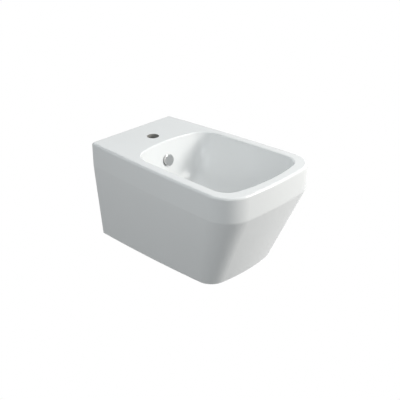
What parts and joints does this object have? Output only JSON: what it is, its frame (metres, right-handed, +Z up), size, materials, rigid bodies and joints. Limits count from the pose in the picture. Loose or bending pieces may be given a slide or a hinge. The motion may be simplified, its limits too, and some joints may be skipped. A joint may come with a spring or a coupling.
{
  "type": "wall-hung bidet",
  "caption": "Wall-hung bidet with an oval bowl, a tap hole in the deck, an overflow with a round cover, a push plug and wall studs.",
  "frame": {"origin": "on the wall plane, midway between the two wall studs", "axes": "+Z up, +Y into the wall along the studs, so the front faces -Y, and +X to the right for someone who faces the wall"},
  "size_m": [0.3594, 0.598, 0.305],
  "materials": {
    "glaze": "gloss",
    "chrome": "polished",
    "chromed_brass": "polished",
    "brass": "machined",
    "rubber": "matte",
    "white_plastic": "satin",
    "grey_plastic": "satin",
    "spring_steel": "bright",
    "zinc_steel": "zinc plated"
  },
  "bodies": {
    "fixed_body": {"ceramic_body": "glaze", "overflow_cover": "chrome", "overflow_bush": "white_plastic", "overflow_seal": "rubber", "waste_body": "chromed_brass", "tailpiece": "chromed_brass", "flange_gasket": "rubber", "tail_gasket": "rubber", "slip_washer": "white_plastic", "back_nut": "brass", "cartridge_sleeve": "grey_plastic", "latch_spring": "spring_steel", "latch_pin": "spring_steel", "wall_studs": "zinc_steel", "stud_sleeves": "white_plastic", "stud_washers": "zinc_steel", "stud_nuts": "zinc_steel"},
    "plug": {"waste_plug": "chrome", "plug_seal": "rubber", "plug_stem": "brass"}
  },
  "joints": [
    {"name": "plug_slide", "type": "slide", "parent": "fixed_body", "child": "plug", "axis": [0, 0, 1], "range_m": [-0.008, 0], "stiffness_N_per_m": 600, "springref_m": 0.005, "deforming": ["latch_spring"]}
  ]
}
